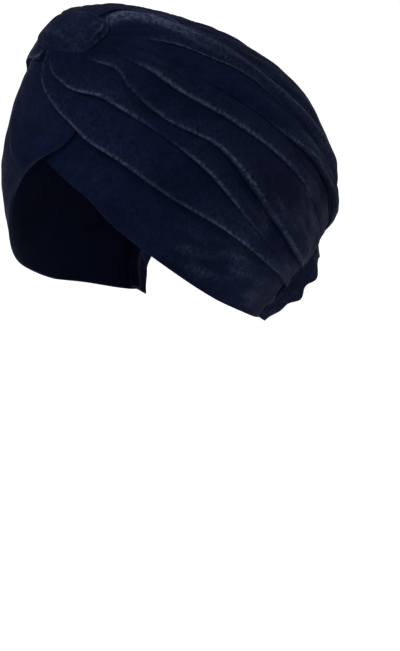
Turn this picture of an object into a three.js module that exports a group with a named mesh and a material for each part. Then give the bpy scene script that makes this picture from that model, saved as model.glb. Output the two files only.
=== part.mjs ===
// A pre-tied velvet turban (chemo cap) in the shape that it has when worn.
//
// Frame: millimetres, +Z up, the face towards -Y, the wearer's left towards +X. The origin is the
// crown seat, the point inside the cap that rests on the top of the head.
//
// All the cloth lies on one egg-shaped form, a head with the cap's own fullness. A place on the form
// is given by two angles. `reach` runs from the knot at the front (0) to the gathers at the nape
// (180). `turn` goes round the line from knot to nape: 0 over the crown, 90 at the wearer's left,
// 180 at the face, and negative turns on the wearer's right. A pleat keeps nearly the same turn all
// the way back. `lift` is the height above the form.

import * as THREE from "three";
import { mergeVertices } from "three/addons/utils/BufferGeometryUtils.js";

// ---------------------------------------------------------------------------------------------
// Driving dimensions
// ---------------------------------------------------------------------------------------------

// Half-lengths of the egg from its centre, along its own tipped axes.
const EGG = { front: 120, back: 92.5, up: 57.5, down: 127, side: 74.5 };
const AXIS_TIP = 37; // degrees that the knot end of the egg's long axis points above level
const NAPE_DROP = 20; // degrees that the nape gathers lie below the axis's back end
const CROWN_SEAT = { back: -25, up: 78.6 }; // the origin, from the egg's centre

const CLOTH = 1.4; // velvet with its pile and turned seams
const GAP = 0.35; // air between two layers
const LAYER = CLOTH + GAP;

const KNOT_END = 3.8; // reach at which the wraps start, hidden by the knot
const NAPE_END = 134; // reach at which wraps and panels end, on average, at the elastic
// The reach of the nape edge itself, by how far round it is from the middle of the back.
const NAPE_EDGE = { turns: [0, 50, 80, 98, 113, 135], reaches: [158, 151, 134, 131.5, 136.5, 137] };

// The knot's middle lies a little beside and above the form's tip.
const KNOT = { across: -0.8, along: 3, halfWidth: 19, up: 11, down: 10, height: 6 };
const BAND = { width: 10, flare: 9, ripple: 1.6, ruffles: 11, columns: 77 };

const VELVET = { color: 0x10152a, roughness: 0.85, metalness: 0 };

// ---------------------------------------------------------------------------------------------
// The form
// ---------------------------------------------------------------------------------------------

const rad = THREE.MathUtils.degToRad;
const { lerp, smoothstep } = THREE.MathUtils;

const KNOTWARD = new THREE.Vector3(0, -Math.cos(rad(AXIS_TIP)), Math.sin(rad(AXIS_TIP)));
const CROWNWARD = new THREE.Vector3(0, Math.sin(rad(AXIS_TIP)), Math.cos(rad(AXIS_TIP)));
const LEFTWARD = new THREE.Vector3(1, 0, 0);
const CENTRE = new THREE.Vector3(0, -CROWN_SEAT.back, -CROWN_SEAT.up);

// The point of the form in a direction given as parts (knotward, crownward, leftward) of a unit
// vector, `lift` millimetres out along the form's normal.
function onEgg(k, u, s, lift) {
  const halfK = k > 0 ? EGG.front : EGG.back;
  const halfU = u > 0 ? EGG.up : EGG.down;
  const normal = new THREE.Vector3()
    .addScaledVector(KNOTWARD, k / halfK)
    .addScaledVector(CROWNWARD, u / halfU)
    .addScaledVector(LEFTWARD, s / EGG.side)
    .normalize();
  return CENTRE.clone()
    .addScaledVector(KNOTWARD, k * halfK)
    .addScaledVector(CROWNWARD, u * halfU)
    .addScaledVector(LEFTWARD, s * EGG.side)
    .addScaledVector(normal, lift);
}

// The straight line from the knot to the nape gathers, through the unit sphere of directions.
const KNOT_POLE = new THREE.Vector3(1, 0, 0);
const NAPE_POLE = new THREE.Vector3(-Math.cos(rad(NAPE_DROP)), -Math.sin(rad(NAPE_DROP)), 0);
const MIDDLE = KNOT_POLE.clone().add(NAPE_POLE).multiplyScalar(0.5);
const HALF_LENGTH = KNOT_POLE.distanceTo(NAPE_POLE) / 2;
const LINE = KNOT_POLE.clone().sub(NAPE_POLE).normalize();
const LINE_UP = new THREE.Vector3(-LINE.y, LINE.x, 0);
const LINE_LEFT = new THREE.Vector3(0, 0, 1);

// The point of the form at a turn and a reach. A half plane at that turn about the line cuts the
// sphere in an arc from knot to nape, and the reach is the way along the arc.
function onForm(turn, reach, lift) {
  const away = LINE_UP.clone()
    .multiplyScalar(Math.cos(rad(turn)))
    .addScaledVector(LINE_LEFT, Math.sin(rad(turn)));
  const sink = MIDDLE.dot(away);
  const radius = Math.hypot(HALF_LENGTH, sink);
  const start = Math.atan2(sink, HALF_LENGTH);
  const angle = lerp(start, Math.PI - start, reach / 180);
  const { x, y, z } = MIDDLE.clone()
    .addScaledVector(away, radius * Math.sin(angle) - sink)
    .addScaledVector(LINE, radius * Math.cos(angle));
  return onEgg(x, y, z, lift);
}

// The value at x of a smooth curve through the points (xs[i], ys[i]).
function curveThrough(xs, ys, x) {
  const last = xs.length - 1;
  if (x <= xs[0]) return ys[0];
  if (x >= xs[last]) return ys[last];
  const i = xs.findIndex((_, n) => x < xs[n + 1]);
  const slope = (n) => {
    const a = Math.max(n - 1, 0);
    const b = Math.min(n + 1, last);
    return (ys[b] - ys[a]) / (xs[b] - xs[a]);
  };
  const width = xs[i + 1] - xs[i];
  const t = (x - xs[i]) / width;
  const rise = ys[i + 1] - ys[i];
  const a = slope(i) * width - rise;
  const b = rise - slope(i + 1) * width;
  return ys[i] + t * rise + t * (1 - t) * ((1 - t) * a + t * b);
}

// A closed wall of cloth. place(column, row) gives the turn, the reach and the lift of its inner
// face, with turns that fall from column to column and reaches that grow from row to row.
function clothWall(columns, rows, place, thickness = CLOTH) {
  const points = [];
  for (const layer of [0, thickness]) {
    for (let j = 0; j <= rows; j++) {
      for (let i = 0; i <= columns; i++) {
        const { turn, reach, lift } = place(i, j);
        points.push(...onForm(turn, reach + dipAt(turn, reach), lift + layer));
      }
    }
  }
  const width = columns + 1;
  const layerSize = width * (rows + 1);
  const faces = [];
  const quad = (a, b, c, d) => faces.push(a, b, c, a, c, d);
  for (let j = 0; j < rows; j++) {
    for (let i = 0; i < columns; i++) {
      const inner = j * width + i;
      const outer = inner + layerSize;
      quad(inner, inner + 1, inner + width + 1, inner + width);
      quad(outer, outer + width, outer + width + 1, outer + 1);
    }
  }
  const rim = (a, b) => quad(a, a + layerSize, b + layerSize, b);
  for (let i = 0; i < columns; i++) {
    rim(i, i + 1);
    rim(rows * width + i + 1, rows * width + i);
  }
  for (let j = 0; j < rows; j++) {
    rim((j + 1) * width, j * width);
    rim(j * width + columns, (j + 1) * width + columns);
  }
  return new THREE.BufferGeometry()
    .setAttribute("position", new THREE.Float32BufferAttribute(points, 3))
    .setIndex(faces);
}

// The reach of row j of `rows` beside the ears, closer together near the knot.
function reachOf(j, rows) {
  const t = j / rows;
  return lerp(KNOT_END, NAPE_END, t * lerp(0.6, 1, t));
}

// How much further or less far a place reaches, so that the last row follows the nape edge.
function dipAt(turn, reach) {
  const fromCrown = THREE.MathUtils.radToDeg(Math.acos(Math.cos(rad(turn))));
  const edge = curveThrough(NAPE_EDGE.turns, NAPE_EDGE.reaches, fromCrown);
  return (edge - NAPE_END) * (reach / NAPE_END) ** 2;
}

// ---------------------------------------------------------------------------------------------
// Front panels
// ---------------------------------------------------------------------------------------------

// Both edges of each panel, from the knot to the nape. The face edge starts out hidden under the
// other panel, comes into sight at the top of the V, and runs down past the temple and the ear. The
// top edge lies hidden under the wrap. The right panel hangs lower and fuller at the temple. Its
// turns are those of its mirror image.
const LEFT_PANEL = [
  { at: "knot", edgeTurn: 250, edgeReach: 5, topTurn: 98, topReach: 5, full: 0 },
  { at: "under the other panel", edgeTurn: 238, edgeReach: 16, topTurn: 100, topReach: 14, full: 0 },
  { at: "crossing", edgeTurn: 217, edgeReach: 27, topTurn: 102, topReach: 24, full: 0 },
  { at: "top of the V", edgeTurn: 176, edgeReach: 31, topTurn: 103, topReach: 33, full: 0 },
  { at: "forehead", edgeTurn: 149, edgeReach: 42, topTurn: 102, topReach: 45, full: 0 },
  { at: "brow", edgeTurn: 138, edgeReach: 55, topTurn: 100, topReach: 57, full: 0 },
  { at: "temple", edgeTurn: 129.5, edgeReach: 70, topTurn: 98, topReach: 71, full: 0 },
  { at: "before the ear", edgeTurn: 123, edgeReach: 87, topTurn: 96, topReach: 88, full: 0 },
  { at: "over the ear", edgeTurn: 116.5, edgeReach: 110, topTurn: 93, topReach: 110, full: 0 },
  { at: "nape", edgeTurn: 112.5, edgeReach: 134, topTurn: 90, topReach: 134, full: 0 },
];
const RIGHT_PANEL = [
  { at: "knot", edgeTurn: 250, edgeReach: 5, topTurn: 88, topReach: 5, full: 0 },
  { at: "over the other panel", edgeTurn: 238, edgeReach: 16, topTurn: 87, topReach: 14, full: 0 },
  { at: "crossing", edgeTurn: 217, edgeReach: 27, topTurn: 85, topReach: 24, full: 0 },
  { at: "top of the V", edgeTurn: 182, edgeReach: 32, topTurn: 83, topReach: 33, full: 2.5 },
  { at: "forehead", edgeTurn: 161, edgeReach: 42, topTurn: 81, topReach: 45, full: 3.5 },
  { at: "brow", edgeTurn: 152, edgeReach: 55, topTurn: 81, topReach: 57, full: 3 },
  { at: "temple", edgeTurn: 143, edgeReach: 70, topTurn: 82, topReach: 71, full: 2.5 },
  { at: "before the ear", edgeTurn: 131, edgeReach: 87, topTurn: 83, topReach: 88, full: 1.5 },
  { at: "over the ear", edgeTurn: 119, edgeReach: 110, topTurn: 85, topReach: 110, full: 0.5 },
  { at: "nape", edgeTurn: 112.5, edgeReach: 134, topTurn: 88, topReach: 134, full: 0 },
];
const PANEL_COLUMNS = 13;
const ROWS_A_STATION = 3;
const PANEL_ROWS = (LEFT_PANEL.length - 1) * ROWS_A_STATION;
const STATIONS = LEFT_PANEL.map((_, n) => n);

// A place on a panel: `across` is 0 at the face edge and 1 at the top edge.
function onPanel(panel, across, row) {
  const column = (name) => curveThrough(STATIONS, panel.map((p) => p[name]), row / ROWS_A_STATION);
  return {
    turn: lerp(column("edgeTurn"), column("topTurn"), across),
    reach: lerp(column("edgeReach"), column("topReach"), across),
    lift: column("full") * (1 - smoothstep(across, 0.3, 0.85)),
  };
}

const edgeTurnAt = (reach) =>
  curveThrough(LEFT_PANEL.map((p) => p.edgeReach), LEFT_PANEL.map((p) => p.edgeTurn), reach);

function leftPanel() {
  return clothWall(PANEL_COLUMNS, PANEL_ROWS, (i, j) => onPanel(LEFT_PANEL, i / PANEL_COLUMNS, j));
}

// The right panel steps up over the left one where the two cross.
function rightPanel() {
  return clothWall(PANEL_COLUMNS, PANEL_ROWS, (i, j) => {
    const { turn, reach, lift } = onPanel(RIGHT_PANEL, 1 - i / PANEL_COLUMNS, j);
    const pastLeft = 360 - turn - edgeTurnAt(reach - 5);
    return { turn: 360 - turn, reach, lift: lift + LAYER * (1 - smoothstep(pastLeft, 4, 45)) };
  });
}

// ---------------------------------------------------------------------------------------------
// Pleated wraps
// ---------------------------------------------------------------------------------------------

// The turn of each fold at these reaches, from the wrap's free edge upwards, and its height on the
// front half of the cap and on the back half.
const FOLD_REACHES = [5, 11, 16, 23, 30, 42, 62, 88, 110, 134];
const LEFT_FOLDS = [
  { fold: "free edge", turns: [250, 210, 172, 148, 137, 124, 113, 105, 101, 97], front: 2.4, back: 1.8 },
  { fold: "second", turns: [235, 163, 139, 119, 112, 106, 101, 100, 98, 94], front: 2.8, back: 2.2 },
  { fold: "third", turns: [125, 106, 102, 98, 101, 100, 94, 95, 94, 88], front: 2.8, back: 3.2 },
  { fold: "fourth", turns: [100, 95, 92, 89, 89, 89, 86, 82, 80, 78], front: 2.4, back: 1.6 },
  { fold: "shoulder", turns: [80, 78, 76, 75, 74, 74, 74, 72, 70, 68], front: 0.8, back: 2.6 },
  { fold: "thin", turns: [66, 64, 62, 61, 60, 59, 59, 63, 63, 62], front: 1.5, back: 0.8 },
  { fold: "top ridge", turns: [38, 36, 34, 33, 37, 47, 53, 56, 58, 57], front: 3.6, back: 1.6 },
];
const CROWN_FOLDS = [
  { fold: "free edge", turns: [-107, -114, -107, -98, -91, -89, -90, -92, -94, -95], front: 0.6, back: 2.0 },
  { fold: "lower side", turns: [-84, -86, -84, -80, -76, -73, -72, -73, -76, -78], front: 1.8, back: 2.8 },
  { fold: "side", turns: [-66, -67, -66, -63, -59, -56, -52, -50, -51, -56], front: 2.4, back: 3.0 },
  { fold: "shoulder", turns: [-47, -46, -46, -45, -42, -37, -30, -27, -28, -33], front: 3.0, back: 3.4 },
  { fold: "right of the crown", turns: [-27, -25, -27, -27, -24, -16, -5, 2, 3, -3], front: 1.6, back: 3.8 },
  { fold: "crown", turns: [-4, -1, -3, -4, 0, 12, 27, 34, 36, 30], front: 1.2, back: 4.4 },
  { fold: "beside the ridge", turns: [20, 18, 17, 16, 19, 31, 43, 50, 52, 50], front: 0.4, back: 0.8 },
  { fold: "under the ridge", turns: [50, 48, 47, 46, 47, 54, 60, 63, 63, 61], front: 0, back: 0 },
];

// Across one pleat, from its fold up to the next: how far over, and how much of the height is left.
const PLEAT_SECTION = [
  { over: 0, height: 1 },
  { over: 0.3, height: 0.9 },
  { over: 0.6, height: 0.45 },
  { over: 0.84, height: 0.05 },
];
const WRAP_ROWS = 23;
const RIDGE_LAYERS = 1.7; // how high the left wrap's top ridge stands on the crown wrap, in layers

// How many layers of cloth lie under a wrap. Beside the face it covers one panel, or two where they
// cross, and close to the knot everything is bunched up to the same level. On the wearer's right
// the wrap covers the panel from higher up, and comes down to it sooner.
function layersUnder(turn, reach) {
  const onPanels = smoothstep(turn > 0 ? turn : 10 - turn, 62, 92);
  const bunched = 1 - smoothstep(reach, 18, 45);
  const crossingEnd = lerp(56, 38, smoothstep(-turn, 60, 90));
  const crossing = 1.1 * (1 - smoothstep(reach, crossingEnd - 22, crossingEnd));
  return (1 - (1 - onPanels) * (1 - bunched)) * (1 + crossing);
}

// Each pleat falls steeply over the foot of the one below. liftedFrom is the fold from which the
// left wrap climbs over the crown wrap, and tuckedFrom the one from which the crown wrap lies flat
// under it.
function pleatedWrap(folds, { liftedFrom, tuckedFrom, rightToLeft = false }) {
  const stations = PLEAT_SECTION.length;
  const columns = (folds.length - 1) * stations;
  return clothWall(columns, WRAP_ROWS, (i, j) => {
    const reach = reachOf(j, WRAP_ROWS);
    const station = rightToLeft ? columns - i : i;
    const n = Math.floor(station / stations);
    const { over, height } = PLEAT_SECTION[station % stations];
    const foldTurn = (row) => curveThrough(FOLD_REACHES, row.turns, reach);
    const turn = lerp(foldTurn(folds[n]), foldTurn(folds[Math.min(n + 1, folds.length - 1)]), over);
    let layers = layersUnder(turn, reach);
    if (liftedFrom) {
      layers = Math.max(layers, RIDGE_LAYERS * smoothstep(n + over, liftedFrom - 1, liftedFrom));
    }
    if (tuckedFrom) layers *= 1 - smoothstep(n + over, tuckedFrom - 1, tuckedFrom);
    const grown = smoothstep(reach, 17, 40) * (1 - 0.7 * smoothstep(reach, 118, NAPE_END));
    const foldHeight = lerp(folds[n].front, folds[n].back, smoothstep(reach, 40, 95));
    return { turn, reach, lift: LAYER * layers + foldHeight * height * grown };
  });
}

// ---------------------------------------------------------------------------------------------
// Knot and nape band
// ---------------------------------------------------------------------------------------------

// A flattish oval lump with a flat foot, lying on the fanned ends of the wraps.
function frontKnot() {
  const seat = 3 * LAYER + 0.2;
  const fuller = (v) => Math.sign(v) * Math.abs(v) ** 0.85;
  const round = new THREE.SphereGeometry(1, 20, 12);
  round.rotateX(Math.PI / 2);
  const at = round.getAttribute("position");
  for (let n = 0; n < at.count; n++) {
    const s = (KNOT.across + fuller(at.getX(n)) * KNOT.halfWidth) / EGG.side;
    const y = fuller(at.getY(n));
    const along = KNOT.along + y * (y > 0 ? KNOT.up : KNOT.down);
    const u = along / (along > 0 ? EGG.up : EGG.down);
    const lift = seat + KNOT.height * Math.max(0, fuller(at.getZ(n)));
    const k = Math.sqrt(1 - s * s - u * u);
    at.setXYZ(n, ...onEgg(k, u, s, lift));
  }
  round.deleteAttribute("normal");
  round.deleteAttribute("uv");
  return mergeVertices(round, 1e-3);
}

// The elastic casing along the nape, with the gathered cloth flaring below it in ruffles that are
// evenly far apart along the edge.
function napeBand() {
  const rows = 3;
  const start = NAPE_END + 0.6;
  const end = edgeTurnAt(NAPE_END);
  const turnAt = (share) => lerp(end, -end, share);
  const edge = new THREE.CatmullRomCurve3(
    Array.from({ length: BAND.columns }, (_, n) => {
      const turn = turnAt(n / (BAND.columns - 1));
      return onForm(turn, NAPE_END + dipAt(turn, NAPE_END), 0);
    }),
  );
  return clothWall(BAND.columns, rows, (i, j) => {
    const along = i / BAND.columns;
    const turn = turnAt(edge.getUtoTmapping(along));
    const t = j / rows;
    const out = smoothstep(t, 0, 1);
    const flare = BAND.flare * (1 - 0.8 * smoothstep(Math.abs(turn), 85, end));
    const ripple = BAND.ripple * Math.cos(along * BAND.ruffles * 2 * Math.PI);
    return { turn, reach: start + t * BAND.width, lift: 0.8 + out * (flare + ripple) };
  }, 2.4);
}

// ---------------------------------------------------------------------------------------------
// Assembly
// ---------------------------------------------------------------------------------------------

const cap = new THREE.Group();

function add(name, geometry) {
  const mesh = new THREE.Mesh(geometry, new THREE.MeshStandardMaterial(VELVET));
  mesh.name = name;
  cap.add(mesh);
}

add("left_front_panel", leftPanel());
add("right_front_panel", rightPanel());
add("left_wrap", pleatedWrap(LEFT_FOLDS, { liftedFrom: 5 }));
add("crown_wrap", pleatedWrap(CROWN_FOLDS, { tuckedFrom: 6, rightToLeft: true }));
add("front_knot", frontKnot());
add("nape_band", napeBand());

export default cap;
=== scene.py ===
"""A pre-tied velvet turban (chemo cap), in the shape that it has when worn.

The face is towards -Y, the wearer's left towards +X, and up is +Z. The origin is the crown seat, the
point inside the cap that rests on the head. Sizes of the cloth are in millimetres, and are turned to
metres where a mesh is made.
"""

import math

import bmesh
import bpy
import numpy as np
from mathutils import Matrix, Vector


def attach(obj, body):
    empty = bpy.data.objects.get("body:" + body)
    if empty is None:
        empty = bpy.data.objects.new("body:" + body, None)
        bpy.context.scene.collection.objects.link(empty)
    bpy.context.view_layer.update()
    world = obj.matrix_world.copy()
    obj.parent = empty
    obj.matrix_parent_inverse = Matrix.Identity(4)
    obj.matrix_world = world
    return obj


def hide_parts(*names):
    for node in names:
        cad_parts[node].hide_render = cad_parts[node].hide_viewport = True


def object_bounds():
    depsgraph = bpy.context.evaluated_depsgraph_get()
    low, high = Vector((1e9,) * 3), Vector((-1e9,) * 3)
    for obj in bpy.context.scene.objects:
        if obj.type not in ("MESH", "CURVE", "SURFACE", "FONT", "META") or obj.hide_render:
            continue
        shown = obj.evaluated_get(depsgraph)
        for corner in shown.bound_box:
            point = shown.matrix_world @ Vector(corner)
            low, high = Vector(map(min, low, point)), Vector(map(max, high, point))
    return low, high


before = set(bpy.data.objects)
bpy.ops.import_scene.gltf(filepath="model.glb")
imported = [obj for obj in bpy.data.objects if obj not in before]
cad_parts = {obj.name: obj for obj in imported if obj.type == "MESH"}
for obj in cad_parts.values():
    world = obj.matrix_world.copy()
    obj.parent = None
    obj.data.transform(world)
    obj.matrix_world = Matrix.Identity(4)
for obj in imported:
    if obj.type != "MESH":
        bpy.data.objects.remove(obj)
cad_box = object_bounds()
MM = 0.001

# ---------------------------------------------------------------------------------------------
# Floor, light and camera: a white paper floor under three soft lamps, in a white room. The camera
# looks at the front left of the cap, a little from above, and far enough away to keep its true shape.
# ---------------------------------------------------------------------------------------------

HEAD_CENTRE = Vector((0, 25, -78.6)) * MM
VIEW_AZIMUTH, VIEW_ELEVATION, VIEW_DISTANCE = 40, 12, 1.3
AIM_RIGHT, AIM_BELOW = 4.8 * MM, 101 * MM  # so the cap stands in the upper left of the view
LENS = 128.35
FLOOR_DROP, FLOOR_HALF = 0.42, 9  # how far it lies below the cap, and half its width


def linear(hex_colour):
    """An sRGB hex colour as linear RGBA."""
    parts = [int(hex_colour[n : n + 2], 16) / 255 for n in (1, 3, 5)]
    return [p / 12.92 if p <= 0.04045 else ((p + 0.055) / 1.055) ** 2.4 for p in parts] + [1]


def add_node(tree, kind, links=None, **settings):
    """A node of a shader tree, with its settings, socket values and incoming links."""
    node = tree.nodes.new(kind)
    for name, value in settings.items():
        if name.startswith("in_"):
            node.inputs[name[3:].replace("_", " ")].default_value = value
        else:
            setattr(node, name, value)
    for socket, source in (links or {}).items():
        tree.links.new(source, node.inputs[socket])
    return node


def direction(azimuth, elevation):
    """The unit vector towards an azimuth round the cap (0 is its front) and an elevation."""
    a, e = math.radians(azimuth), math.radians(elevation)
    return Vector((math.sin(a) * math.cos(e), -math.cos(a) * math.cos(e), math.sin(e)))


def look(obj, place, target):
    """Puts a camera or lamp at a place, facing the target."""
    obj.location = place
    obj.rotation_euler = (target - place).to_track_quat("-Z", "Y").to_euler()
    bpy.context.scene.collection.objects.link(obj)


def soft_sun(name, azimuth, elevation, strength, softness):
    """A broad lamp far away, which lights the cap and the whole floor alike."""
    lamp = bpy.data.lights.new(name, "SUN")
    lamp.energy, lamp.angle = strength, math.radians(softness)
    place = HEAD_CENTRE + direction(azimuth, elevation)
    look(bpy.data.objects.new(name, lamp), place, HEAD_CENTRE)


camera = bpy.data.cameras.new("camera")
camera.lens = LENS
right_of_view = Vector((0, 0, 1)).cross(direction(VIEW_AZIMUTH, 0))
look(
    bpy.data.objects.new("camera", camera),
    HEAD_CENTRE + direction(VIEW_AZIMUTH, VIEW_ELEVATION) * VIEW_DISTANCE,
    HEAD_CENTRE + right_of_view * AIM_RIGHT - Vector((0, 0, AIM_BELOW)),
)
bpy.context.scene.camera = bpy.data.objects["camera"]
bpy.context.scene.view_settings.view_transform = "Standard"

soft_sun("key", azimuth=-4, elevation=47, strength=2.5, softness=28)
soft_sun("side", azimuth=100, elevation=35, strength=0.3, softness=60)
soft_sun("back", azimuth=205, elevation=60, strength=0.7, softness=45)

world = bpy.data.worlds.new("white_studio")
world.use_nodes = True
world.node_tree.nodes["Background"].inputs["Color"].default_value = (1, 1, 1, 1)
world.node_tree.nodes["Background"].inputs["Strength"].default_value = 0.4
bpy.context.scene.world = world

floor_mesh = bpy.data.meshes.new("floor")
floor_z = cad_box[0].z - FLOOR_DROP
corners = [(x * FLOOR_HALF, y * FLOOR_HALF, floor_z) for x, y in ((-1, -1), (1, -1), (1, 1), (-1, 1))]
floor_mesh.from_pydata(corners, [], [(0, 1, 2, 3)])
# Matt white paper: it gives no gloss, only a soft shade.
paper = bpy.data.materials.new("matt_white_paper")
paper.use_nodes = True
paper.node_tree.nodes["Principled BSDF"].inputs["Base Color"].default_value = linear("#f7f7f7")
paper.node_tree.nodes["Principled BSDF"].inputs["Roughness"].default_value = 0.9
floor_mesh.materials.append(paper)
floor = bpy.data.objects.new("floor", floor_mesh)
bpy.context.scene.collection.objects.link(floor)

# ---------------------------------------------------------------------------------------------
# Front panels: two smooth bands of velvet, each from under the knot along one side of the face to
# the casing at the nape. They are turned under and stitched along the face edge, and cross at the
# forehead, the right one over the left one, so that the face edge is an inverted V.
# ---------------------------------------------------------------------------------------------

# The form that all the cloth lies on, a head with the cap's own fullness: an egg whose long axis
# is tipped up at the knot. `reach` runs from the knot (0) to the gathers at the nape (180), and
# `turn` goes round that line: 0 over the crown, 90 at the wearer's left, 180 at the face.
EGG_FRONT, EGG_BACK, EGG_UP, EGG_DOWN, EGG_SIDE = 120, 92.5, 57.5, 127, 74.5  # half its sizes
AXIS_TIP = math.radians(37)  # of the egg's long axis
NAPE_DROP = math.radians(20)  # of the nape's gathers, below the end of that axis
KNOTWARD = np.array((0, -math.cos(AXIS_TIP), math.sin(AXIS_TIP)))
CROWNWARD = np.array((0, math.sin(AXIS_TIP), math.cos(AXIS_TIP)))
LEFTWARD = np.array((1, 0, 0))
CENTRE = np.array(HEAD_CENTRE) / MM

CLOTH = 1.4  # velvet with its pile and turned seams
LAYER = CLOTH + 0.35  # one layer on another, with the air between
NAPE_END = 134  # the reach of the nape edge beside the ears
# The nape edge: its reach at these turns from the crown, on both sides alike.
NAPE_TURNS = (0, 50, 80, 98, 113, 135)
NAPE_REACHES = (158, 151, 134, 131.5, 136.5, 137)


def on_egg(k, u, s, lift):
    """Points of the form in directions (knotward, crownward, leftward), lifted along the normal."""
    half_k = np.where(k > 0, EGG_FRONT, EGG_BACK)
    half_u = np.where(u > 0, EGG_UP, EGG_DOWN)
    along = [(k / half_k, KNOTWARD), (u / half_u, CROWNWARD), (s / EGG_SIDE, LEFTWARD)]
    normal = sum(part[..., None] * axis for part, axis in along)
    normal /= np.linalg.norm(normal, axis=-1, keepdims=True)
    place = (k * half_k)[..., None] * KNOTWARD + (u * half_u)[..., None] * CROWNWARD
    return CENTRE + place + (s * EGG_SIDE)[..., None] * LEFTWARD + normal * lift[..., None]


def on_form(turn, reach, lift):
    """Points of the form at a turn and a reach, which are in degrees."""
    turn, reach, lift = np.broadcast_arrays(*(np.asarray(v, float) for v in (turn, reach, lift)))
    # On a round ball each turn is an arc of a circle from the pole at the knot to the one at the
    # nape. The ball is then stretched to the egg.
    knot_pole = np.array((1, 0))
    nape_pole = np.array((-math.cos(NAPE_DROP), -math.sin(NAPE_DROP)))
    middle = (knot_pole + nape_pole) / 2
    half = np.linalg.norm(knot_pole - nape_pole) / 2
    line = (knot_pole - nape_pole) / (2 * half)
    upward = np.array((-line[1], line[0]))
    sink = (middle @ upward) * np.cos(np.radians(turn))
    radius = np.hypot(half, sink)
    start = np.arctan2(sink, half)
    angle = start + (np.pi - 2 * start) * reach / 180
    away = radius * np.sin(angle) - sink
    forth = radius * np.cos(angle)
    k = middle[0] + away * np.cos(np.radians(turn)) * upward[0] + forth * line[0]
    u = middle[1] + away * np.cos(np.radians(turn)) * upward[1] + forth * line[1]
    return on_egg(k, u, away * np.sin(np.radians(turn)), lift)


def smooth(x, low, high):
    """0 below low, 1 above high, and a smooth step between."""
    t = np.clip((np.asarray(x, float) - low) / (high - low), 0, 1)
    return t * t * (3 - 2 * t)


def bell(x, width):
    """1 where x is 0, fading smoothly to nothing within about two widths on both sides."""
    return np.exp(-((x / width) ** 2))


def curve_through(xs, ys, x):
    """The value at x of a smooth curve through the points (xs, ys)."""
    xs, ys = np.asarray(xs, float), np.asarray(ys, float)
    last = len(xs) - 1
    before = np.maximum(np.arange(len(xs)) - 1, 0)
    after = np.minimum(np.arange(len(xs)) + 1, last)
    slopes = (ys[after] - ys[before]) / (xs[after] - xs[before])
    x = np.clip(np.asarray(x, float), xs[0], xs[-1])
    i = np.clip(np.searchsorted(xs, x, side="right") - 1, 0, last - 1)
    width = xs[i + 1] - xs[i]
    t = (x - xs[i]) / width
    rise = ys[i + 1] - ys[i]
    a, b = slopes[i] * width - rise, rise - slopes[i + 1] * width
    return ys[i] + t * rise + t * (1 - t) * ((1 - t) * a + t * b)


def dipped(turn, reach):
    """The reach, stretched or shortened so that the reach NAPE_END follows the nape edge."""
    from_crown = np.degrees(np.arccos(np.cos(np.radians(turn))))
    edge = curve_through(NAPE_TURNS, NAPE_REACHES, from_crown)
    return reach + (edge - NAPE_END) * (reach / NAPE_END) ** 2


def uneven(seed, wavelength, *coordinates):
    """A smooth random unevenness of about -1 to 1 over coordinates in mm, the same on each run."""
    random = np.random.default_rng(seed)
    waves = 14
    total = 0
    for _ in range(waves):
        heading = random.normal(size=len(coordinates))
        heading /= np.linalg.norm(heading)
        pitch = wavelength * random.uniform(0.7, 1.5)
        phase = random.uniform(0, 2 * np.pi)
        along = sum(h * c for h, c in zip(heading, coordinates))
        total = total + np.cos(2 * np.pi * along / pitch + phase)
    return total / math.sqrt(waves / 2) * 0.7


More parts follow.
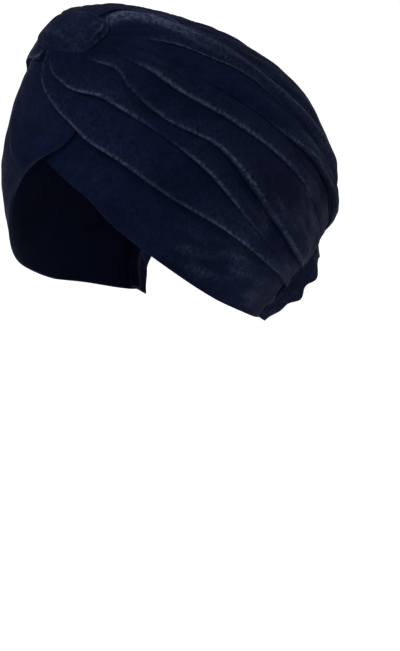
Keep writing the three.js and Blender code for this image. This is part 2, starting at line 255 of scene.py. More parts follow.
def velvet():
    """Knitted polyester velvet, a dense pile dyed navy. The pile traps light, so it is darkest
    where it is looked at straight on, and a soft sheen lifts its edges. Patches of pile pressed
    or laid another way show as a random mottling of its colour. A painted highlight, a paler line
    along the crest of each fold, and patches of painted sheen are mixed into the colour. `crest`
    holds where that is."""
    made = bpy.data.materials.new("knitted_navy_velvet")
    made.use_nodes = True
    tree = made.node_tree
    place = add_node(tree, "ShaderNodeTexCoord").outputs["Object"]
    # The patches are streaks along the pull of the cloth, from the knot down to the nape.
    pulled = add_node(
        tree, "ShaderNodeMapping", {"Vector": place},
        in_Rotation=(NAPE_DROP, 0, 0), in_Scale=(1, 0.38, 1),
    ).outputs["Vector"]
    patch_mm, streak_mm, tuft_mm = 30, 5, 1.9
    pile_mm = 0.75  # the real pile, 0.1 mm, is too fine to show
    patches = add_node(
        tree, "ShaderNodeTexNoise", {"Vector": pulled},
        in_Scale=1 / (patch_mm * MM), in_Detail=2, in_Roughness=0.5,
    )
    streaks = add_node(
        tree, "ShaderNodeTexNoise", {"Vector": pulled},
        in_Scale=1 / (streak_mm * MM), in_Detail=4, in_Roughness=0.6, in_Distortion=0.4,
    )
    tufts = add_node(
        tree, "ShaderNodeTexNoise", {"Vector": place},
        in_Scale=1 / (tuft_mm * MM), in_Detail=3, in_Roughness=0.65,
    )
    pile = add_node(
        tree, "ShaderNodeTexNoise", {"Vector": place},
        in_Scale=1 / (pile_mm * MM), in_Detail=2, in_Roughness=0.7,
    )
    mottling_and_sheen = add_node(
        tree, "ShaderNodeMath", {0: patches.outputs["Fac"], 1: streaks.outputs["Fac"]},
        operation="MULTIPLY",
    )
    mottling_and_sheen = add_node(
        tree, "ShaderNodeMath", {0: mottling_and_sheen.outputs[0], 1: tufts.outputs["Fac"]},
        operation="MULTIPLY",
    )
    dye = add_node(tree, "ShaderNodeValToRGB", {"Fac": mottling_and_sheen.outputs[0]})
    dye.color_ramp.elements[0].position = 0.06
    dye.color_ramp.elements[0].color = linear("#03081a")
    dye.color_ramp.elements[1].position = 0.26
    dye.color_ramp.elements[1].color = linear("#0b122b")
    # The crest attribute holds the painted highlight and painted sheen, which mix the colour towards
    # a pale tone below.
    crest = add_node(tree, "ShaderNodeAttribute", attribute_name="crest")
    # The painted highlight breaks up into single tufts.
    painted_highlight = add_node(
        tree, "ShaderNodeMapRange", {"Value": tufts.outputs["Fac"]},
        in_From_Min=0.36, in_From_Max=0.66, in_To_Min=0.12, in_To_Max=1.15,
    )
    painted_highlight = add_node(
        tree, "ShaderNodeMath", {0: crest.outputs["Fac"], 1: painted_highlight.outputs["Result"]},
        operation="MULTIPLY",
    )
    colour_a, colour_b = 6, 7  # the colour sockets of a mix node
    shade = add_node(
        tree, "ShaderNodeMix", {"Factor": painted_highlight.outputs[0], colour_a: dye.outputs["Color"]},
        data_type="RGBA",
    )
    # The pale colour of the painted highlight and sheen.
    shade.inputs[colour_b].default_value = linear("#363e53")
    height = add_node(
        tree, "ShaderNodeMath", {0: tufts.outputs["Fac"], 2: pile.outputs["Fac"]},
        operation="MULTIPLY_ADD",
    )
    height.inputs[1].default_value = 1.4  # how much taller the tufts are than the pile
    relief = add_node(
        tree, "ShaderNodeBump", {"Height": height.outputs[0]}, in_Strength=0.5,
        in_Distance=0.3 * MM,
    )
    shader = tree.nodes["Principled BSDF"]
    tree.links.new(shade.outputs[2], shader.inputs["Base Color"])
    tree.links.new(relief.outputs["Normal"], shader.inputs["Normal"])
    shader.inputs["Roughness"].default_value = 0.9
    shader.inputs["IOR"].default_value = 1.5
    shader.inputs["Specular IOR Level"].default_value = 0.04
    shader.inputs["Sheen Weight"].default_value = 0.25
    shader.inputs["Sheen Roughness"].default_value = 0.22
    shader.inputs["Sheen Tint"].default_value = linear("#56607c")
    return made


VELVET = velvet()
WELD_MM = 0.00001  # points closer than this are one


def soft_piece(name, points, faces, crest):
    """A smooth velvet mesh that stands for the CAD node of its name. crest says how much painted
    highlight and painted sheen lies at each point, from 0 to 1."""
    mesh = bpy.data.meshes.new(name)
    mesh.from_pydata(points.tolist(), [], faces)
    mesh.polygons.foreach_set("use_smooth", np.ones(len(mesh.polygons), bool))
    mesh.materials.append(VELVET)
    # The crest attribute carries the painted highlight and sheen to the material.
    painted_highlight = mesh.attributes.new("crest", "FLOAT", "POINT")
    painted_highlight.data.foreach_set("value", np.asarray(crest, np.float32).ravel())
    # Where the two faces of the cloth meet in a rounded edge, their points are one.
    welded = bmesh.new()
    welded.from_mesh(mesh)
    bmesh.ops.remove_doubles(welded, verts=welded.verts, dist=WELD_MM * MM)
    welded.to_mesh(mesh)
    welded.free()
    piece = bpy.data.objects.new(name + "_cloth", mesh)
    bpy.context.scene.collection.objects.link(piece)
    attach(piece, "root")
    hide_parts(name)
    return piece


def cloth_piece(name, outer, inner, crest):
    """A closed wall of cloth between two grids of points, with reaches that grow row by row and
    turns that fall column by column."""
    rows, columns = outer.shape[:2]
    points = np.concatenate([inner.reshape(-1, 3), outer.reshape(-1, 3)]) * MM
    at = np.arange(rows * columns).reshape(rows, columns)
    far = at + rows * columns

    def quads(a, b, c, d):
        return np.stack([a, b, c, d], axis=-1).reshape(-1, 4)

    faces = np.concatenate([
        quads(at[:-1, :-1], at[:-1, 1:], at[1:, 1:], at[1:, :-1]),
        quads(far[:-1, :-1], far[1:, :-1], far[1:, 1:], far[:-1, 1:]),
        quads(at[0, :-1], far[0, :-1], far[0, 1:], at[0, 1:]),
        quads(at[-1, 1:], far[-1, 1:], far[-1, :-1], at[-1, :-1]),
        quads(at[1:, 0], far[1:, 0], far[:-1, 0], at[:-1, 0]),
        quads(at[:-1, -1], far[:-1, -1], far[1:, -1], at[1:, -1]),
    ])
    painted_highlight = np.concatenate([np.zeros(at.size), np.broadcast_to(crest, at.shape).ravel()])
    return soft_piece(name, points, faces.tolist(), painted_highlight)


# Both edges of each panel, from the knot to the nape: the face edge's turn and reach, the hidden
# top edge's turn and reach, and how far the cloth stands off at the face edge.
LEFT_PANEL = np.array([
    (250, 5, 98, 5, 0),
    (238, 16, 100, 14, 0),
    (217, 27, 102, 24, 0),
    (176, 31, 103, 33, 0),
    (149, 42, 102, 45, 0),
    (138, 55, 100, 57, 0),
    (129.5, 70, 98, 71, 0),
    (123, 87, 96, 88, 0),
    (116.5, 110, 93, 110, 0),
    (112.5, 134, 90, 134, 0),
])
RIGHT_PANEL = np.array([
    (250, 5, 88, 5, 0),
    (238, 16, 87, 14, 0),
    (217, 27, 85, 24, 0),
    (182, 32, 83, 33, 2.5),
    (161, 42, 81, 45, 3.5),
    (152, 55, 81, 57, 3),
    (143, 70, 82, 71, 2.5),
    (131, 87, 83, 88, 1.5),
    (119, 110, 85, 110, 0.5),
    (112.5, 134, 88, 134, 0),
])
PANEL_ROWS, PANEL_COLUMNS = 220, 110
FULLNESS_FADES = 0.3, 0.85  # across a panel, where its fullness at the face edge fades away
CROSSING_STEP = 4, 45  # degrees past the left panel's edge, where the right one comes down from it
TEMPLE_BULGE = 1.2  # of the right panel, where it comes out from under the crown wrap
HEM_WIDTH, HEM_ROLL, HEM_DENT = 7, 0.5, 0.18  # the turned-under edge, its rim and its stitching
WAVE, WAVE_LENGTH = 0.35, 34  # of the unevenness that any worn cloth has
RIPPLE, RIPPLE_LENGTH = 0.14, 11
NAPE_FOLD, NAPE_FOLDS_ACROSS = 0.9, 2.3  # the shallow folds where the elastic draws a panel in
CINCH = 0.8  # how far the elastic draws the cloth in at its very end
SHEEN_PATCH, SHEEN_STREAK = 17, 4.5  # sizes of the patches and streaks of painted sheen
nape_rims = []  # the turns and lifts of each piece's outer face where it meets the casing


def edge_turn(reach):
    """The turn of the left panel's face edge."""
    return curve_through(LEFT_PANEL[:, 1], LEFT_PANEL[:, 0], reach)


def cinched(reach):
    """How far the cloth is drawn in, by the elastic at the nape."""
    return CINCH * smooth(reach, NAPE_END - 3, NAPE_END)


def rounded(distance, radius):
    """How much of its height an edge rounded to a radius has, at a distance in from its end."""
    return np.sqrt(np.clip(1 - (1 - np.minimum(distance, radius) / radius) ** 2, 0, 1))


def sheen_patches(seed, cover, contrast, round_it, slant, reach):
    """Where sheen is painted: random patches of streaks along the pull of the cloth. round_it is
    how far round the cap a place is, in mm, and slant is how much the streaks run across."""
    patch = np.clip(cover + contrast * uneven(seed, SHEEN_PATCH, round_it, reach * 0.7), 0, 1)
    streak = uneven(seed + 1, SHEEN_STREAK, round_it + reach * slant, reach * 0.25)
    return patch * np.clip(0.5 + 0.6 * streak, 0, 1.4)


def panel(name, table, mirrored, edge_highlight, seed):
    """One front panel. edge_highlight is how strong the painted highlight along its face edge is."""
    station = np.linspace(0, len(table) - 1, PANEL_ROWS)[:, None]
    # Columns are closest together at the two edges, which are rounded over.
    across = (1 - np.cos(np.linspace(0, np.pi, PANEL_COLUMNS)[None, :])) / 2
    edge_t, edge_r, top_t, top_r, full = (
        curve_through(np.arange(len(table)), table[:, n], station) for n in range(5)
    )
    turn = edge_t + (top_t - edge_t) * across
    reach = edge_r + (top_r - edge_r) * across
    lift = full * (1 - smooth(across, *FULLNESS_FADES))
    side = -1 if mirrored else 1
    if mirrored:
        lift = lift + TEMPLE_BULGE * bell(across - 0.72, 0.2) * bell(reach - 38, 9)
        past_left = 360 - turn - edge_turn(reach - 5)
        lift = lift + LAYER * (1 - smooth(past_left, *CROSSING_STEP))
    flat = on_form(side * turn, dipped(turn, reach), lift)
    step = np.linalg.norm(np.diff(flat, axis=1), axis=-1)
    from_edge = np.concatenate([np.zeros((PANEL_ROWS, 1)), np.cumsum(step, axis=1)], axis=1)
    from_top = from_edge[:, -1:] - from_edge
    # The turned-under edge is a little thicker, with a soft roll at its rim and a faint dent
    # where it is stitched.
    hem = HEM_ROLL * bell(from_edge, 2.6) - HEM_DENT * bell(from_edge - HEM_WIDTH, 1.2)
    rim = CLOTH / 2
    rounding = rounded(from_edge, rim) * rounded(from_top, rim)
    waves = WAVE * uneven(seed, WAVE_LENGTH, *np.moveaxis(flat, -1, 0))
    waves = waves + RIPPLE * uneven(seed + 1, RIPPLE_LENGTH, *np.moveaxis(flat, -1, 0))
    # Towards the nape the cloth is drawn together into long shallow folds.
    drawn = smooth(reach, 80, NAPE_END)
    waves = waves + drawn * NAPE_FOLD * np.cos(2 * np.pi * (across * NAPE_FOLDS_ACROSS + 0.15))
    free = smooth(from_edge, 0, 6) * smooth(from_top, 7, 18)
    outer_lift = lift + rim + (CLOTH / 2 + hem) * rounding + np.clip(waves, -0.3, 2) * free
    outer_lift = outer_lift - cinched(reach)
    inner_lift = lift + rim - (CLOTH / 2) * rounding
    outer = on_form(side * turn, dipped(turn, reach), outer_lift)
    inner = on_form(side * turn, dipped(turn, reach), inner_lift)
    # A painted highlight along the face edge, and patches of painted sheen towards the back.
    crest = edge_highlight * bell(from_edge, 0.9) * (0.7 + 0.4 * uneven(seed + 2, 30, reach))
    mottling_and_sheen = sheen_patches(seed + 3, 0.45, 0.6, turn * 1.3, 0.6, reach)
    mottling_and_sheen = mottling_and_sheen * smooth(reach, 50, 100) * (1 - 0.5 * smooth(reach, 120, NAPE_END))
    crest = crest + 0.42 * mottling_and_sheen * smooth(from_edge, 2, 8)
    nape_rims.append((side * turn[-1], outer_lift[-1]))
    if mirrored:
        outer, inner, crest = outer[:, ::-1], inner[:, ::-1], crest[:, ::-1]
    return cloth_piece(name, outer, inner, np.clip(crest, 0, 1))


left_panel = panel("left_front_panel", LEFT_PANEL, mirrored=False, edge_highlight=0.04, seed=11)
right_panel = panel("right_front_panel", RIGHT_PANEL, mirrored=True, edge_highlight=0.3, seed=21)

# ---------------------------------------------------------------------------------------------
# Pleated wraps: the left wrap and the crown wrap, each one width of velvet gathered tightly under
# the knot and again at the nape. Between, the cloth lies in soft pleats that lap over each other
# like shingles, each with a rolled lower edge.
# ---------------------------------------------------------------------------------------------

# Each fold from the wrap's free edge upwards: its turns at FOLD_REACHES, its height on the front
# half of the cap and on the back half, and the reaches between which it stands out sharply.
FOLD_REACHES = (5, 11, 16, 23, 30, 42, 62, 88, 110, 134)
LEFT_FOLDS = [
    ("free edge", (250, 210, 172, 148, 137, 124, 113, 105, 101, 97), 2.4, 2.0, 2, 118),
    ("second", (235, 163, 139, 119, 112, 106, 101, 100, 98, 94), 2.8, 2.4, 1, 90),
    ("third", (125, 106, 102, 98, 101, 100, 94, 95, 94, 88), 2.8, 4.6, 14, 128),
    ("fourth", (100, 95, 92, 89, 89, 89, 86, 82, 80, 78), 2.4, 2.4, 24, 96),
    ("shoulder", (80, 78, 76, 75, 74, 74, 74, 72, 70, 68), 0.6, 4.4, 72, 134),
    ("thin", (66, 64, 62, 61, 60, 59, 59, 63, 63, 62), 1.5, 1.0, 28, 64),
    ("top ridge", (38, 36, 34, 33, 37, 47, 53, 56, 58, 57), 3.6, 2.6, 9, 108),
]
CROWN_FOLDS = [
    ("free edge", (-107, -114, -107, -98, -91, -89, -90, -92, -94, -95), 0.7, 2.0, 2, 120),
    ("lower side", (-84, -86, -84, -80, -76, -73, -72, -73, -76, -78), 1.8, 2.8, 34, 112),
    ("side", (-66, -67, -66, -63, -59, -56, -52, -50, -51, -56), 2.6, 3.0, 18, 98),
    ("shoulder", (-47, -46, -46, -45, -42, -37, -30, -27, -28, -33), 3.0, 3.4, 22, 122),
    ("right of the crown", (-27, -25, -27, -27, -24, -16, -5, 2, 3, -3), 2.2, 3.8, 30, 112),
    ("crown", (-4, -1, -3, -4, 0, 12, 27, 34, 36, 30), 3.6, 4.6, 47, 118),
    ("beside the ridge", (20, 18, 17, 16, 19, 31, 43, 50, 52, 50), 1.6, 2.6, 26, 60),
    ("under the ridge", (50, 48, 47, 46, 47, 54, 60, 63, 63, 61), 0, 0, 0, 1),
]
WRAP_ROWS = 240
WRAP_START = 3  # the reach where the wraps come out from under the knot's stitching
UNDER_COLUMNS, ROLL_COLUMNS, FACE_COLUMNS, EDGE_COLUMNS = 3, 8, 16, 12  # of one pleat
SHARPENS, SOFTENS = (-4, 12), (-16, 12)  # from where to where round those two reaches
SHALLOW, SHARP = 0.12, 0.88  # shares of a fold's height that it has all along, and where sharp
FLATTENED = 0.7  # how much of its height a fold loses where the elastic draws it in
LARGEST_ROLL, LARGEST_TUCK = 1.7, 3.4  # of a fold's lower edge
RIDGE_LAYERS = 1.45  # how high the ridge stands, clear of the wrap under it
BAG = 2.2  # how far the cloth bags out over the elastic
CRINKLE, CRINKLE_LENGTH = 0.34, 15
FINE_CRINKLE, FINE_CRINKLE_LENGTH = 0.14, 6
CREST_MM, BLOOM_MM = 0.75, 7  # the painted highlight line along a crest, and the softer painted sheen above it
# how strong the painted highlight on a crest, the painted sheen above it and the patches of painted
# sheen are
CREST_HIGHLIGHT, BLOOM_SHEEN, PATCH_SHEEN = 0.8, 0.1, 0.35
RIDGE_BAND_MM, RIDGE_PAIR_MM = 3.8, 4.2  # the broad shine on the ridge, and between its two lines
# The knot that the wraps pass under: its middle beside the form's tip, half its width, its extent
# up and down, how square it is, and how high it lies on the wraps at its upper and lower edges.
KNOT_ACROSS, KNOT_ALONG = 0.2, 3
KNOT_HALF_WIDTH, KNOT_UP, KNOT_DOWN, KNOT_SQUARE = 18, 11, 10, 2.8
KNOT_SEAT, KNOT_SEAT_RISE = 3 * LAYER - 0.1, 2.4
KNOT_GATHERS, KNOT_GATHER = 26, 0.55  # how many gathers run all round under the knot, how high
PRESSED = 0.15  # what is left of the folds' height where the knot presses on them
NOT_NEAR = 9  # a share of the knot's size that is well outside it


def layers_under(turn, reach):
    """How many layers of cloth lie under a wrap: the panels at the sides, all the cloth that is
    bunched up near the knot, and both panels where they cross."""
    on_panels = np.where(turn > 0, smooth(turn, 62, 92), smooth(-turn, 68, 80.5))
    bunch_end = 45 - 12 * smooth(-turn, 40, 75)
    bunched = 1 - smooth(reach, bunch_end - 27, bunch_end)
    crossing_end = 56 - 26 * smooth(-turn, 60, 85) + 8 * smooth(-turn, 93, 106)
    crossing = 1.1 * (1 - smooth(reach, crossing_end - 22, crossing_end))
    return (1 - (1 - on_panels) * (1 - bunched)) * (1 + crossing)


def bagged(turn, reach):
    """How far the cloth bags out over the elastic, beside the end of the ridge."""
    beside_ridge = smooth(turn, 48, 66) * (1 - smooth(turn, 80, 95))
    return BAG * bell(reach - 127.5, 6) * beside_ridge


def knot_outline(heading):
    """How far the knot's rim lies beyond or within its regular outline, as it is a little askew."""
    return 1 - 0.06 * np.cos(2 * heading + 0.9) + 0.03 * np.sin(3 * heading - 0.9)


def under_knot(height):
    """How far the knot's lower side is raised, at a height from -1 to 1 up the knot."""
    return smooth(-height, -0.5, 0.8)


def beside_knot(points):
    """How far points are from the knot's middle, where 1 is its rim, and how far they are raised
    as it is there."""
    from_centre = points - CENTRE
    across = (from_centre @ LEFTWARD - KNOT_ACROSS) / KNOT_HALF_WIDTH
    along = from_centre @ CROWNWARD - KNOT_ALONG
    height = np.where(along > 0, along / KNOT_UP, along / KNOT_DOWN)
    share = (np.abs(across) ** KNOT_SQUARE + np.abs(height) ** KNOT_SQUARE) ** (1 / KNOT_SQUARE)
    share = share / knot_outline(np.arctan2(height, across))
    in_front = from_centre @ KNOTWARD > 0
    return np.where(in_front, share, NOT_NEAR), under_knot(height)


def fold_tuck(tall, width):
    """How far a fold's lower edge hangs over the cloth below it."""
    return np.minimum(LARGEST_TUCK * smooth(tall, 0.3, 2.5), 0.25 * width)


def wrap(name, folds, upward, seed, ridge=False, tucked=False):
    """A pleated wall of cloth. Each pleat runs from the crest of one fold to under the next one.
    upward is the sign of a turn that goes up the side. A ridge ends the wrap in a rounded edge that
    stands on the next wrap, and a tucked end lies flat under it."""
    row = np.linspace(0, 1, WRAP_ROWS)
    reach = WRAP_START + (NAPE_END - WRAP_START) * row * (0.6 + 0.4 * row)
    back = smooth(reach, 40, 95)
    crest = np.array([curve_through(FOLD_REACHES, fold[1], reach) for fold in folds])
    sharp = np.array([
        smooth(reach - begins, *SHARPENS) * (1 - smooth(reach - ends, *SOFTENS))
        for *_, begins, ends in folds
    ])
    height = np.array([front + (rear - front) * back for _, _, front, rear, _, _ in folds])
    flattened = 1 - FLATTENED * smooth(reach, 118, NAPE_END)
    height *= (SHALLOW * smooth(reach, 15, 40) + SHARP * sharp) * flattened
    for n in range(len(folds)):
        crest[n] += 0.4 * uneven(seed + n, 46, reach) * smooth(reach, 20, 50)
        height[n] *= 1 + 0.22 * uneven(seed + 20 + n, 38, reach)
    height = np.maximum(height, 0.02)
    gone = on_form(crest + 0.5, reach, 0) - on_form(crest - 0.5, reach, 0)
    mm_a_degree = np.linalg.norm(gone, axis=-1)
    pleats = len(folds) - 1
    turns, heights, inner_turns, painted_lights = [], [], [], []
    # Over one pleat: under its lower edge, round the roll of that edge, and up its face to where
    # the next one hangs over it. a is how far up the side and h how high a place is, both in mm.
    for n in range(pleats):
        last = n + 1 == pleats
        degrees = np.abs(crest[n + 1] - crest[n])
        width = degrees * (mm_a_degree[n] + mm_a_degree[n + 1]) / 2
        tall = height[n]
        roll = np.minimum(0.36 * tall, LARGEST_ROLL)
        tuck = fold_tuck(tall, width)
        next_tuck = 0 * width if last else fold_tuck(height[n + 1], width)
        share = np.linspace(0, 1, UNDER_COLUMNS, endpoint=False)[:, None]
        angle = np.linspace(np.pi, 0, ROLL_COLUMNS, endpoint=False)[:, None]
        x = np.linspace(0, 1, FACE_COLUMNS, endpoint=False)[:, None]
        face = tall * (1 - x**1.5)
        if last and ridge:
            face = tall * (1 - x) ** 1.4 + height[n + 1] * smooth(x, 0.1, 0.95)
        if last and tucked:
            face = tall * (1 - x) ** 2.2
        a = [
            tuck + (roll - tuck) * share,
            roll * (1 - np.sin(angle)),
            roll + (width + next_tuck - roll) * x,
        ]
        h = [(tall - 2 * roll) * share**1.5, tall - roll + roll * np.cos(angle), face]
        if last:
            # The ridge rolls over its far side; a tucked end just stops.
            bend = (height[n + 1] + CLOTH) / 2 if ridge else 0 * width
            angle = np.linspace(np.pi / 2, -np.pi / 2.3, EDGE_COLUMNS)[:, None]
            a.append(width + bend * np.cos(angle))
            edge_height = height[n + 1] - bend + bend * np.sin(angle)
            h.append(edge_height if ridge else np.zeros_like(edge_height))
        a, h = np.concatenate(a), np.concatenate(h)
        # A highlight is painted along the crest, here stronger and there weaker, with painted sheen
        # fading above it.
        line = sharp[n] * np.clip(0.75 + 0.45 * uneven(seed + 40 + n, 40, reach), 0, 1)
        from_crest = np.abs(a - roll)
        bloom = BLOOM_SHEEN + 0.1 * smooth(reach, 50, 95)
        painted_light = CREST_HIGHLIGHT * bell(from_crest, CREST_MM) + bloom * np.exp(-from_crest / BLOOM_MM)
        painted_light = painted_light * line * (a >= 0) * smooth(h, -0.5, 0.5 * tall)
        # A broad painted highlight lies over the ridge's whole breadth, strongest at the front, with
        # a pair of painted highlight lines along it.
        if last and ridge:
            # The ridge is rubbed over its whole breadth, most of all at the front.
            line = sharp[n + 1] * np.clip(0.8 + 0.4 * uneven(seed + 40 + n, 40, reach), 0, 1)
            from_ridge = np.abs(width - a)
            band = 0.5 * bell(from_ridge, RIDGE_BAND_MM) * (1 + 1.8 * (1 - smooth(reach, 26, 48)))
            band = band * (1 - 0.65 * bell(reach - 57, 13))
            line_pair = 0.4 * bell(from_ridge, 0.8) + 0.4 * bell(from_ridge - RIDGE_PAIR_MM, 0.8)
            painted_light = painted_light + line * (band + line_pair) * smooth(h, 0, height[n + 1])
        painted_lights.append(painted_light)
        degrees_a_mm = degrees / np.maximum(width, 1e-6)
        turns.append(crest[n] + upward * a * degrees_a_mm)
        heights.append(h)
        steps = np.linspace(0, 1, len(a), endpoint=last)[:, None]
        inner_turns.append(
            crest[n] + upward * (tuck + (width + next_tuck - tuck) * steps) * degrees_a_mm
        )
    turn, lift, inner_turn, painted_light = (
        np.concatenate(part).T for part in (turns, heights, inner_turns, painted_lights)
    )
    column = np.concatenate([
        n + np.linspace(0, 1, len(part), endpoint=False) for n, part in enumerate(turns)
    ])
    reach = reach[:, None]
    base = layers_under(turn, reach)
    inner_base = layers_under(inner_turn, reach)
    if ridge:
        rise = RIDGE_LAYERS * smooth(column, pleats - 2, pleats - 1)
        base, inner_base = np.maximum(base, rise), np.maximum(inner_base, rise)
    if tucked:
        sink = 1 - smooth(column, pleats - 1, pleats)
        base, inner_base = base * sink, inner_base * sink
    # Small crinkles run along the pull of the cloth, so they are longer that way.
    crinkle = CRINKLE * uneven(seed + 50, CRINKLE_LENGTH, turn * 2.6, reach * 0.65)
    fine = FINE_CRINKLE * uneven(seed + 51, FINE_CRINKLE_LENGTH, turn * 1.9, reach * 0.8)
    crinkle = (crinkle + fine) * smooth(reach, 14, 36)
    if tucked:
        crinkle = crinkle * sink
    # Below the knot the wraps come out full and flush with it, and all round they are gathered.
    knot_share, below_knot = beside_knot(on_form(turn, dipped(turn, reach), 0))
    relief = lift * (PRESSED + (1 - PRESSED) * smooth(knot_share, 1, 1.2)) + crinkle
    from_rim = np.maximum(knot_share - 1, 0)
    full = KNOT_SEAT_RISE * below_knot * np.exp(-from_rim / 0.55)
    full = full + 0.5 * below_knot * np.exp(-from_rim / 0.12)
    gathered = bell(knot_share - 1.35, 0.3) * smooth(np.abs(turn), 25, 50)
    gathers = np.cos(np.radians(turn) * KNOT_GATHERS + uneven(seed + 60, 40, turn))
    relief = relief + KNOT_GATHER * gathered * gathers * (1 - 0.7 * below_knot)
    lift = LAYER * base + CLOTH + relief + full + bagged(turn, reach)
    # Under the knot nothing stands higher than its seat.
    seat = KNOT_SEAT + KNOT_SEAT_RISE * below_knot - 0.3
    pressed = np.minimum(lift, seat + PRESSED * (lift - seat))
    lift = np.where(knot_share < 1.015, pressed, lift)
    # Patches of painted sheen, towards the back of the cap.
    mottling_and_sheen = sheen_patches(seed + 70, 0.4, 0.7, turn * 1.2, 0, reach)
    painted_light = painted_light + PATCH_SHEEN * mottling_and_sheen * smooth(reach, 70, 105)
    lift = lift - cinched(reach)
    nape_rims.append((turn[-1], (lift - bagged(turn, reach))[-1]))
    outer = on_form(turn, dipped(turn, reach), lift)
    inner_lift = LAYER * inner_base + bagged(inner_turn, reach)
    inner = on_form(inner_turn, dipped(inner_turn, reach), inner_lift)
    if upward > 0:
        outer, inner, painted_light = outer[:, ::-1], inner[:, ::-1], painted_light[:, ::-1]
    return cloth_piece(name, outer, inner, np.clip(painted_light, 0, 1))


left_wrap = wrap("left_wrap", LEFT_FOLDS, upward=-1, seed=31, ridge=True)
crown_wrap = wrap("crown_wrap", CROWN_FOLDS, upward=1, seed=71, tucked=True)

# ---------------------------------------------------------------------------------------------
# Front knot: a padded loop of velvet, sewn down over the place where the gathered wraps meet. Its
# cloth lies in soft slanting folds, and is turned under in a rim above and at the wearer's left.
# ---------------------------------------------------------------------------------------------

KNOT_HEIGHT = 5.6
KNOT_RIM, KNOT_RIM_DENT = 0.7, 0.8  # how high the rim stands, and how deep the cloth falls off it
TWIST_FOLD, SIDE_FOLD, LOW_FOLD, KNOT_WAVE = 0.4, 0.4, 0.5, 0.3  # heights of the knot's folds
KNOT_RINGS, KNOT_SPOKES = 90, 260


def front_knot():
    """The knot's shell, ring by ring from its middle, and the seat that closes it below. across
    and along run from -1 to 1 over the knot, to the wearer's left and up."""
    spoke = np.linspace(0, 2 * np.pi, KNOT_SPOKES, endpoint=False)[None, :]
    share = np.sin(np.linspace(0.02, 1, KNOT_RINGS) * np.pi / 2)[:, None]
    rim_across = np.sign(np.cos(spoke)) * np.abs(np.cos(spoke)) ** (2 / KNOT_SQUARE)
    rim_along = np.sign(np.sin(spoke)) * np.abs(np.sin(spoke)) ** (2 / KNOT_SQUARE)
    outline = knot_outline(np.arctan2(rim_along, rim_across))
    across, along = share * rim_across * outline, share * rim_along * outline
    # The loop is full at its upper edge, and thins out below, where the wraps come out from it.
    upper = np.sqrt(np.clip(1 - np.clip(along / 1.06, 0, 1) ** 4, 0, 1))
    lower = 0.05 + 0.95 * (1 - smooth(0.3 * across - along, -0.1, 1.02))
    full = np.clip(1 - np.abs(across / 1.1) ** 2.6, 0, 1) ** 0.55 * np.where(along > 0, upper, lower)
    full = full * np.sqrt(np.clip(1 - share**30, 0, 1))
    # Its edge is turned under in a soft rim, above and at the wearer's left.
    heading = np.degrees(spoke - 2 * np.pi * (spoke > 1.5 * np.pi))
    rimmed = smooth(heading, -16, 8) * (1 - smooth(heading, 80, 125))
    from_rim = share - 0.85 - 0.02 * np.sin(4 * spoke)
    rim = KNOT_RIM * bell(from_rim, 0.055) - KNOT_RIM_DENT * bell(from_rim - 0.1, 0.04)
    # Soft folds run over it on the slant, as the loop is twisted, and one crosses its lower half.
    slant = across - 0.5 * along + 0.16 * np.sin(2.4 * along + 1)
    twist = np.cos(2 * np.pi * (slant * 0.95 + 0.36)) * smooth(np.abs(across), 0.1, 0.5)
    wave = uneven(81, 9, across * KNOT_HALF_WIDTH * 0.8, along * KNOT_UP * 0.6)
    drawn_in = smooth(np.abs(across), 0.3, 0.75)
    beside = drawn_in * np.cos(2 * np.pi * (1.5 * along + 0.35 * across + 0.1))
    folds = TWIST_FOLD * twist + KNOT_WAVE * wave + SIDE_FOLD * beside
    from_fold = along + 0.34 + 0.16 * across + 0.06 * np.sin(5 * across)
    low_fold = bell(from_fold, 0.11) * (1 - smooth(np.abs(across + 0.05), 0.4, 0.75))
    x_mm = KNOT_ACROSS + across * KNOT_HALF_WIDTH
    u_mm = KNOT_ALONG + np.where(along > 0, along * KNOT_UP, along * KNOT_DOWN)
    s, u = x_mm / EGG_SIDE, np.where(u_mm > 0, u_mm / EGG_UP, u_mm / EGG_DOWN)
    k = np.sqrt(1 - s**2 - u**2)
    seat_lift = KNOT_SEAT + KNOT_SEAT_RISE * under_knot(along)
    inside = smooth(full, 0.1, 0.7) * (1 - smooth(share, 0.7, 0.8))
    lift = seat_lift + KNOT_HEIGHT * full
    lift = lift + rim * rimmed + (folds + LOW_FOLD * low_fold) * inside
    shell = on_egg(k, u, s, lift)
    seat = on_egg(k, u, s, seat_lift)[::-1][1:]
    # A highlight is painted on the rim, at the edge beyond it, and a little on the folds, with a
    # faint painted sheen all over.
    painted_highlight = (0.45 * bell(from_rim, 0.022) + 0.35 * bell(share - 0.97, 0.025)) * rimmed
    painted_highlight = painted_highlight + 0.1 * smooth(folds, -0.1, 0.5) + 0.16 * low_fold + 0.05
    rings = np.concatenate([shell, seat])
    points = np.concatenate([rings.reshape(-1, 3), shell[:1].mean(axis=1), seat[-1:].mean(axis=1)])
    at = np.arange(rings.shape[0] * KNOT_SPOKES).reshape(-1, KNOT_SPOKES)
    turned = np.roll(at, -1, axis=1)
    faces = np.stack([at[:-1], at[1:], turned[1:], turned[:-1]], axis=-1).reshape(-1, 4).tolist()
    faces += [(at.size, a, b) for a, b in zip(at[0].tolist(), turned[0].tolist())]
    faces += [(at.size + 1, b, a) for a, b in zip(at[-1].tolist(), turned[-1].tolist())]
    crest = np.zeros(len(points))
    crest[: shell.shape[0] * KNOT_SPOKES] = np.clip(painted_highlight, 0, 1).ravel()
    return soft_piece("front_knot", points * MM, faces, crest)


knot = front_knot()

# ---------------------------------------------------------------------------------------------
# Nape band: the casing of the elastic that gathers the back edge, from ear to ear behind the neck.
# The cloth is drawn in tightly along it, and flares below it in a soft ruffle.
# ---------------------------------------------------------------------------------------------

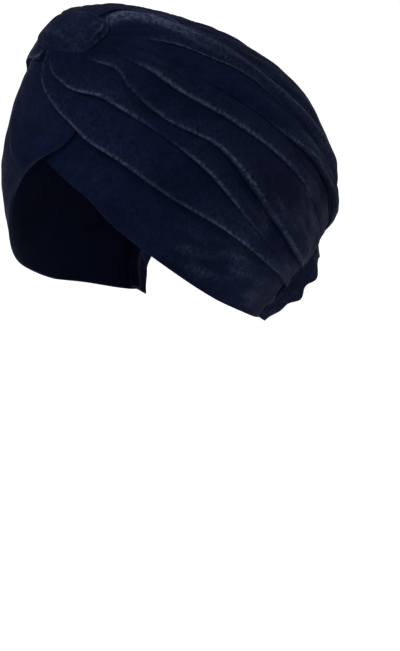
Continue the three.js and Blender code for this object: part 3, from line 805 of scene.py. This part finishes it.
BAND_WIDTH, BAND_FLARE, BAND_THICKNESS = 11, 9, 2
BAND_COLUMNS = 640
TURNED_IN_ROWS, STEP_ROWS, RUFFLE_ROWS, HEM_ROWS = 6, 5, 44, 10
LOBE_MM, LOBE_HEIGHT, LOBE_DROP = 27, 1.3, 0.5  # the width of one lobe of the ruffle, and its swing
GATHER_MM, GATHER_HEIGHT = 5, 0.3
WAIST = 0.3  # how far the elastic draws the casing in
TURNED_IN_MM, TURNED_IN_LIFT = 5, -0.8  # how far the seam allowance goes up and in behind the wraps
END_NARROWING = 0.4  # of the band beside the ears
BAND_GAP = 0.15  # between the wraps' ends and the casing
# Over how many columns the casing evens out which way it faces and hangs, and the wraps' ends.
FACING_COLUMNS, HANGING_COLUMNS, EVENED_COLUMNS = 31, 61, 31
THINNEST = 0.05  # of the band at its hem, where its two faces come together


def evened(values, columns):
    """A row of values or points with its corners smoothed over a number of columns, an odd one."""
    weights = np.hanning(columns + 2)[1:-1]
    rows = np.atleast_2d(values.T)
    padded = np.pad(rows, ((0, 0), (columns // 2, columns // 2)), "edge")
    smoothed = [np.convolve(row, weights / weights.sum(), "valid") for row in padded]
    return np.squeeze(np.array(smoothed).T)


def unit(vectors):
    """Vectors of the same directions, all 1 long."""
    return vectors / np.linalg.norm(vectors, axis=-1, keepdims=True)


def nape_band():
    """The casing and its ruffle, along the seam at the wraps' and panels' ends."""
    end = edge_turn(NAPE_END)
    turn = np.linspace(end, -end, BAND_COLUMNS)
    seam = on_form(turn, dipped(turn, NAPE_END), 0)
    outward = unit(evened(on_form(turn, dipped(turn, NAPE_END), 1) - seam, FACING_COLUMNS))
    downward = unit(evened(np.cross(outward, np.gradient(seam, axis=0)), HANGING_COLUMNS))
    further = on_form(turn, dipped(turn, NAPE_END + 1), 0)
    downward *= np.sign(np.sum(downward * (further - seam)))
    along = np.concatenate([[0], np.cumsum(np.linalg.norm(np.diff(seam, axis=0), axis=-1))])
    # Rows: the seam allowance, the step out over the ends of the wraps, the ruffle, and its hem.
    below = np.concatenate([
        np.linspace(-TURNED_IN_MM, BAND_GAP, TURNED_IN_ROWS, endpoint=False),
        np.linspace(BAND_GAP, 2 * BAND_GAP, STEP_ROWS, endpoint=False),
        np.linspace(2 * BAND_GAP, BAND_WIDTH - 1, RUFFLE_ROWS, endpoint=False),
        BAND_WIDTH - 1 + np.sin(np.linspace(0, np.pi / 2, HEM_ROWS)),
    ])[:, None]
    share = below / BAND_WIDTH
    lobes = np.cos(2 * np.pi * along / LOBE_MM + 2.1 * uneven(91, 90, along))
    gathers = np.cos(2 * np.pi * along / GATHER_MM + 1.3 * uneven(92, 25, along))
    swell = 1 + 0.3 * uneven(93, 50, along)
    at_end = 1 - smooth(np.abs(turn), end - 12, end - 1)
    flush = np.full(BAND_COLUMNS, CLOTH)
    for rim_turn, rim_lift in nape_rims:
        order = np.argsort(rim_turn)
        reached = np.interp(turn, rim_turn[order], rim_lift[order], left=0, right=0)
        flush = np.maximum(flush, reached)
    # The pleats run on into the casing, and are evened out towards the edge of the ruffle.
    pleated = evened(flush, 3)
    flush = pleated + (evened(flush, EVENED_COLUMNS) - pleated) * smooth(share, 0.1, 0.8)
    flare = BAND_FLARE * (1 - 0.6 * smooth(np.abs(turn), 96, end))
    outside = smooth(below, BAND_GAP, 2 * BAND_GAP)
    in_casing = smooth(share, 0.05, 0.2) * (1 - smooth(share, 0.4, 0.9))
    wave = flare * np.maximum(share, 0) - WAIST * bell(share - 0.25, 0.14)
    wave = wave + LOBE_HEIGHT * lobes * swell * smooth(share, 0.1, 0.9) * at_end
    wave = wave + GATHER_HEIGHT * gathers * in_casing * at_end
    outer_lift = TURNED_IN_LIFT * (1 - outside) + (flush + wave) * outside
    thick = BAND_THICKNESS * np.sqrt(np.clip(1 - (share.clip(0.8, 1) / 0.2 - 4) ** 4, 0, 1))
    eased = smooth(below, -1, 3)
    inner_lift = (TURNED_IN_LIFT - BAND_THICKNESS) * (1 - eased) + (flush + wave - thick) * eased
    inner_lift = np.minimum(inner_lift, outer_lift - THINNEST)
    narrowed = 1 - END_NARROWING * (1 - at_end)
    down = np.where(below > 0, below * narrowed, below)
    down = down + LOBE_DROP * lobes * smooth(share, 0.3, 1) * at_end
    outer = seam + down[..., None] * downward + outer_lift[..., None] * outward
    inner = seam + down[..., None] * downward + inner_lift[..., None] * outward
    # A highlight is painted on the hem and on the lobes that stand out, with a faint painted sheen
    # all over.
    painted_highlight = 0.25 * smooth(share, 0.9, 1) + 0.1
    painted_highlight = painted_highlight + 0.14 * smooth(lobes, 0.2, 1) * smooth(share, 0.2, 0.8)
    return cloth_piece("nape_band", outer, inner, np.clip(painted_highlight, 0, 1))


band = nape_band()
